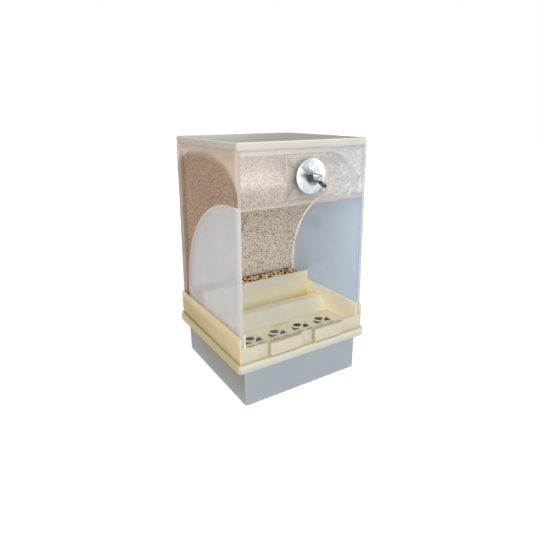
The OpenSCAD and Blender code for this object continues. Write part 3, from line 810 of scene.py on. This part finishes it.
def roundEdges(shape, width):
    limit = math.radians(edges["sharp"])
    sharp = [e for e in shape.edges if len(e.link_faces) == 2 and e.calc_face_angle() > limit]
    bmesh.ops.bevel(shape, geom=sharp, offset=width, offset_type="OFFSET", segments=edges["steps"],
                    profile=edges["profile"], affect="EDGES", clamp_overlap=True)


def faceOutward(mesh):
    shape = bmesh.new()
    shape.from_mesh(mesh)
    bmesh.ops.recalc_face_normals(shape, faces=shape.faces)
    return shape


def writeBack(mesh, shape):
    shape.to_mesh(mesh)
    shape.free()


def smoothPiece(name, mesh, crease, node):
    mesh.shade_smooth()
    mesh.set_sharp_from_angle(angle=math.radians(crease))
    piece = newObject(name, mesh)
    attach(piece, bodyOf[node])
    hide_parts(node)


def dressSolid(node, look, edgeRound, bareAxes):
    mesh, shape = solidCopy(node)
    roundEdges(shape, edgeRound)
    mesh.materials.append(finish[look])
    if bareAxes:
        mesh.materials.append(finish["edge"])
        for face in shape.faces:
            face.material_index = int(any(abs(face.normal[axis]) > edges["facing"] for axis in bareAxes))
        if 1 not in bareAxes:  # this sheet is glued between the side panels
            left, right = innerLeft + edges["glueGap"], innerRight - edges["glueGap"]
            for corner in shape.verts:
                corner.co.x = min(right, max(left, corner.co.x))
    writeBack(mesh, shape)
    smoothPiece(node + "_dressed", mesh, edges["crease"], node)


def dressRamp():  # the ramp's arc faces are clear, its cut ends are bright
    mesh, shape = solidCopy("curved_ramp")
    looks = ("clear", "edge", "seedSide")
    for look in looks:
        mesh.materials.append(finish[look])
    for face in shape.faces:
        middle = face.calc_center_median()
        atEnd = middle.z - rampLow.z < edges["merge"]
        if atEnd or abs(face.normal.x) > edges["facing"]:
            look = "edge"
        elif face.normal.dot(middle - rampAxis) > 0:
            look = "seedSide"
        else:
            look = "clear"
        face.material_index = looks.index(look)
    writeBack(mesh, shape)
    smoothPiece("curved_ramp_dressed", mesh, edges["rampCrease"], "curved_ramp")


for node, (look, slot, edgeRound, bareAxes) in rounded.items():
    dressSolid(node, look, edgeRound, bareAxes)
dressRamp()
print("solids dressed:", len(rounded) + 1)


# Bolt with a rolled thread

bolt = {
    "radius": 3.0 * mm,
    "pitch": 1.0 * mm,
    "threadDepth": 0.55 * mm,
    "flank": (1.25, -0.1),  # slope and offset of the thread's wave, cut off to a flat root and crest
    "headAcross": 10.0 * mm,
    "headHeight": 4.0 * mm,
    "headChamfer": 0.6 * mm,
    "chamferSlope": 0.6,
    "tip": 0.6 * mm,
    "dimple": 1.6 * mm,
    "dimpleDepth": 0.5 * mm,
    "dimpleFoot": 0.55,  # share of the dimple's radius
    "steps": 36,
    "rowsPerTurn": 10,
}


def threadRadius(along, turn):
    phase = (along / bolt["pitch"] - turn / (2 * math.pi)) % 1.0
    slope, offset = bolt["flank"]
    crest = min(1.0, max(0.0, slope * abs(2 * phase - 1) + offset))
    return bolt["radius"] - bolt["threadDepth"] * (1 - crest)


def hexRadius(turn):
    return bolt["headAcross"] / 2 / math.cos((turn + math.pi / 6) % (math.pi / 3) - math.pi / 6)


def boltRings(length, turns):  # each ring: distance along -Y from the head's top, and a radius for every turn
    head, chamfer, steps = bolt["headHeight"], bolt["headChamfer"], bolt["steps"]
    hexagon = [hexRadius(turn) for turn in turns]
    rings = [
        (0.0, [bolt["headAcross"] / 2 - chamfer] * steps),
        (chamfer * bolt["chamferSlope"], hexagon),
        (head, hexagon),
        (head, [bolt["radius"]] * steps),
    ]
    rows = round(length / bolt["pitch"] * bolt["rowsPerTurn"])
    for row in range(1, rows + 1):
        along = length * row / rows
        limit = bolt["radius"] - max(0.0, bolt["tip"] - (length - along))  # turned-down tip
        rings.append((head + along, [min(threadRadius(along, turn), limit) for turn in turns]))
    rings.append((head + length, [bolt["dimple"]] * steps))
    rings.append((head + length - bolt["dimpleDepth"], [bolt["dimple"] * bolt["dimpleFoot"]] * steps))
    return rings


def makeBolt():
    low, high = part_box("clamp_bolt")
    steps = bolt["steps"]
    turns = [2 * math.pi * k / steps for k in range(steps)]
    rings = boltRings(high.y - bolt["headHeight"] - low.y, turns)
    points, faces = [], []
    for along, radii in rings:
        for turn, radius in zip(turns, radii):
            points.append((radius * math.cos(turn), high.y - along, boltAxisZ + radius * math.sin(turn)))
    for ring in range(len(rings) - 1):
        for k in range(steps):
            a, b = ring * steps + k, ring * steps + (k + 1) % steps
            faces.append((a, b, b + steps, a + steps))
    faces.append(tuple(reversed(range(steps))))
    faces.append(tuple(range(len(points) - steps, len(points))))
    mesh = bpy.data.meshes.new("clamp_bolt_threaded")
    mesh.from_pydata(points, [], faces)
    writeBack(mesh, faceOutward(mesh))
    mesh.materials.append(finish["bolt"])
    smoothPiece("clamp_bolt_threaded", mesh, edges["boltCrease"], "clamp_bolt")


makeBolt()
print("bolt threaded")


# Seed in the hopper and in the trough

zoneOf = {"bare": 0, "ramp": 1, "sides": 2, "top": 3, "trough": 4, "front": 5}  # which grains lie on a face
heap = {
    "clear": 1.25 * mm,  # room for half a grain between the bed and what holds it
    "lump": 1.4 * mm,
    "lumpWidth": 17 * mm,
    "leastDepth": 2 * mm,
    "flapSteps": 4,
    "arcSteps": 36,
    "throatSteps": 4,
    "acrossSteps": 36,
    "throatFoot": 1.2 * mm,  # how far the hopper's seed hangs below the ramp's end
    "zones": {"foot": "ramp", "front": "front", "side": "sides", "back": "sides", "top": "top"},
}


def heapTop(x, y):
    run = y - heapLine["crestY"]
    fall = heapLine["backFall" if run > 0 else "frontFall"]
    z = heapLine["crest"] - fall * abs(run) ** heapLine["power"]
    return z + heap["lump"] * noise.noise(Vector((x, y, 0)) / heap["lumpWidth"])


def meshBed(name, columns, zones, body, material):
    # columns[i][j] holds the foot and the top of the bed at station i along Y and j along X
    points, faces, faceZones = [], [], []
    count, wide = len(columns), len(columns[0])
    for level in (0, 1):
        for station in columns:
            points.extend(column[level] for column in station)

    def at(level, i, j):
        return level * count * wide + i * wide + j

    def addFace(side, *corners):
        faces.append(corners)
        faceZones.append(zoneOf[zones[side]])

    end, last = count - 1, wide - 1
    for i in range(end):
        for j in range(last):
            addFace("foot", at(0, i, j), at(0, i + 1, j), at(0, i + 1, j + 1), at(0, i, j + 1))
            addFace("top", at(1, i, j), at(1, i, j + 1), at(1, i + 1, j + 1), at(1, i + 1, j))
        addFace("side", at(0, i, 0), at(1, i, 0), at(1, i + 1, 0), at(0, i + 1, 0))
        addFace("side", at(0, i, last), at(0, i + 1, last), at(1, i + 1, last), at(1, i, last))
    for j in range(last):
        addFace("front", at(0, 0, j), at(0, 0, j + 1), at(1, 0, j + 1), at(1, 0, j))
        addFace("back", at(0, end, j), at(1, end, j), at(1, end, j + 1), at(0, end, j + 1))
    mesh = bpy.data.meshes.new(name)
    mesh.from_pydata(points, [], faces)
    zone = mesh.attributes.new("scatterZone", "INT", "FACE")
    zone.data.foreach_set("value", faceZones)
    writeBack(mesh, faceOutward(mesh))
    mesh.materials.append(material)
    bed = newObject(name, mesh)
    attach(bed, body)
    return bed


def hopperBed():
    clear = heap["clear"]
    radius = rampRadius + clear
    firstY = innerFront + clear
    stations = []  # y and foot z, along the ramp's flat end, down its bend and then across the throat
    for step in range(heap["flapSteps"]):
        stations.append((firstY + (rampAxis.y - firstY) * step / heap["flapSteps"], rampAxis.z + radius))
    for step in range(heap["arcSteps"] + 1):
        turn = math.pi / 2 * step / heap["arcSteps"]
        stations.append((rampAxis.y + radius * math.sin(turn), rampAxis.z + radius * math.cos(turn)))
    throatY, footZ = stations[-1][0], rampLow.z - heap["throatFoot"]
    stations[-1] = (throatY, footZ)
    for step in range(1, heap["throatSteps"] + 1):
        stations.append((throatY + (innerBack - clear - throatY) * step / heap["throatSteps"], footZ))
    columns = []
    for y, foot in stations:
        row = []
        for step in range(heap["acrossSteps"] + 1):
            x = innerLeft + clear + (innerRight - innerLeft - 2 * clear) * step / heap["acrossSteps"]
            row.append(((x, y, foot), (x, y, max(heapTop(x, y), foot + heap["leastDepth"]))))
        columns.append(row)
    return meshBed("hopper_seed_bed", columns, heap["zones"], "housing", finish["hopperBed"])


trough = {
    "clear": 1.7 * mm,
    "damLevel": 76 * mm,
    "rampLevel": 80.6 * mm,
    "riseEnd": 4 * mm,  # before the ramp's back, where the seed reaches its upper level
    "lump": 1.0 * mm,
    "lumpWidth": 9 * mm,
    "lumpSlice": 0.3,  # metres, height at which the noise is cut
    "levelled": 0.7,  # share of the lumps that is gone at the upper level
    "alongSteps": 18,
    "acrossSteps": 44,
    "grainSize": 1.4,  # the trough has gathered the larger seeds
    "zones": {"foot": "bare", "front": "bare", "side": "bare", "back": "bare", "top": "trough"},
}


def troughBed():
    low, high = troughRoom
    clear = trough["clear"]
    columns = []
    for step in range(trough["alongSteps"] + 1):
        y = low.y + clear + (high.y - low.y - 2 * clear) * step / trough["alongSteps"]
        rise = min(1.0, (y - low.y) / (rampHigh.y - trough["riseEnd"] - low.y))
        level = trough["damLevel"] + (trough["rampLevel"] - trough["damLevel"]) * rise
        row = []
        for across in range(trough["acrossSteps"] + 1):
            x = low.x + clear + (high.x - low.x - 2 * clear) * across / trough["acrossSteps"]
            lump = noise.noise(Vector((x, y, trough["lumpSlice"])) / trough["lumpWidth"])
            top = level + trough["lump"] * lump * (1 - trough["levelled"] * rise)
            row.append(((x, y, low.z), (x, y, top - clear)))
        columns.append(row)
    return meshBed("trough_seed_bed", columns, trough["zones"], "tray", finish["troughBed"])


grains = {
    "round": (1.05 * mm, 0.95 * mm, 0.85 * mm),  # half sizes of millet
    "long": (2.1 * mm, 0.85 * mm, 0.80 * mm),  # and of canary seed
    "longShare": 0.35,
    "spacing": 1.9 * mm,
    "densest": 1.0e6,  # points tried on a square metre
    "tilt": 0.35,  # radians
    "sizeDrift": (0.8, 1.12),
    "seed": 7,
}


def grainTree():
    tree = bpy.data.node_groups.new("scatterGrains", "GeometryNodeTree")
    for name, kind in (("Bed", "Geometry"), ("Zone", "Int"), ("Spacing", "Float"), ("Grain Size", "Float"),
                       ("Long Share", "Float"), ("Seed", "Int"), ("Husk", "Material")):
        tree.interface.new_socket(name, in_out="INPUT", socket_type="NodeSocket" + kind)
    tree.interface.new_socket("Grains", in_out="OUTPUT", socket_type="NodeSocketGeometry")
    add = partial(addNode, tree)
    given = add("NodeGroupInput").outputs
    seed = given["Seed"]
    zone = add("GeometryNodeInputNamedAttribute", {"Name": "scatterZone"}, data_type="INT")
    here = add("FunctionNodeCompare", {2: zone, 3: given["Zone"]}, data_type="INT", operation="EQUAL")
    points = add("GeometryNodeDistributePointsOnFaces", {
        "Mesh": given["Bed"], "Selection": here, "Distance Min": given["Spacing"],
        "Density Max": grains["densest"], "Seed": seed,
    }, distribute_method="POISSON").outputs
    shapes = add("GeometryNodeGeometryToInstance")
    for kind in ("round", "long"):
        ball = add("GeometryNodeMeshIcoSphere", {"Radius": 1.0, "Subdivisions": 1})
        grain = add("GeometryNodeTransform", {"Geometry": ball, "Scale": grains[kind]})
        tree.links.new(grain.outputs[0], shapes.inputs[0])
    isLong = add("FunctionNodeRandomValue", {"Probability": given["Long Share"], "Seed": seed},
                 data_type="BOOLEAN")
    tilt = grains["tilt"]
    turn = add("FunctionNodeRandomValue", {
        0: (-tilt, -tilt, 0.0), 1: (tilt, tilt, 2 * math.pi), "Seed": seed,
    }, data_type="FLOAT_VECTOR")
    turned = add("FunctionNodeRotateRotation", {0: points["Rotation"], 1: turn}, rotation_space="LOCAL")
    least, most = grains["sizeDrift"]
    size = add("FunctionNodeRandomValue", {2: least, 3: most, "Seed": seed}, data_type="FLOAT")
    size = add("Math", {0: size, 1: given["Grain Size"]}, operation="MULTIPLY")
    placed = add("GeometryNodeInstanceOnPoints", {
        "Points": points["Points"], "Instance": shapes, "Pick Instance": True, "Instance Index": isLong,
        "Rotation": turned, "Scale": size,
    })
    tone = add("FunctionNodeRandomValue", {2: 0.0, 3: 1.0, "Seed": seed}, data_type="FLOAT")
    stored = add("GeometryNodeStoreNamedAttribute", {
        "Geometry": placed, "Name": "grainTone", "Value": tone,
    }, data_type="FLOAT", domain="INSTANCE")
    real = add("GeometryNodeRealizeInstances", {0: stored})
    smooth = add("GeometryNodeSetShadeSmooth", {0: real})
    worn = add("GeometryNodeSetMaterial", {"Geometry": smooth, "Material": given["Husk"]})
    add("NodeGroupOutput", {0: worn})
    return tree


def scatterGrains(name, bed, zone, body, tree, look, grainSize=1.0):
    piece = newObject(name, bed.data.copy())
    modifier = piece.modifiers.new("grains", "NODES")
    modifier.node_group = tree
    wanted = {
        "Zone": zoneOf[zone], "Spacing": grains["spacing"] * grainSize, "Grain Size": grainSize,
        "Long Share": grains["longShare"], "Seed": grains["seed"] + zoneOf[zone], "Husk": finish[look],
    }
    for item in tree.interface.items_tree:
        if item.in_out == "INPUT" and item.name in wanted:
            modifier[item.identifier] = wanted[item.name]
    graph = bpy.context.evaluated_depsgraph_get()
    mesh = bpy.data.meshes.new_from_object(piece.evaluated_get(graph), preserve_all_data_layers=True,
                                           depsgraph=graph)
    piece.modifiers.clear()
    piece.data = mesh
    mesh.name = name
    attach(piece, body)
    print(name, "has", len(mesh.polygons), "faces")


hopperSeed = hopperBed()
troughSeed = troughBed()
scatterTree = grainTree()
scatterGrains("hopper_grains_ramp", hopperSeed, "ramp", "housing", scatterTree, "rampHusk")
scatterGrains("hopper_grains_front", hopperSeed, "front", "housing", scatterTree, "frontHusk")
scatterGrains("hopper_grains_sides", hopperSeed, "sides", "housing", scatterTree, "sideHusk")
scatterGrains("hopper_grains_top", hopperSeed, "top", "housing", scatterTree, "hopperHusk")
scatterGrains("trough_grains", troughSeed, "trough", "tray", scatterTree, "troughHusk", trough["grainSize"])
print("seed poured")
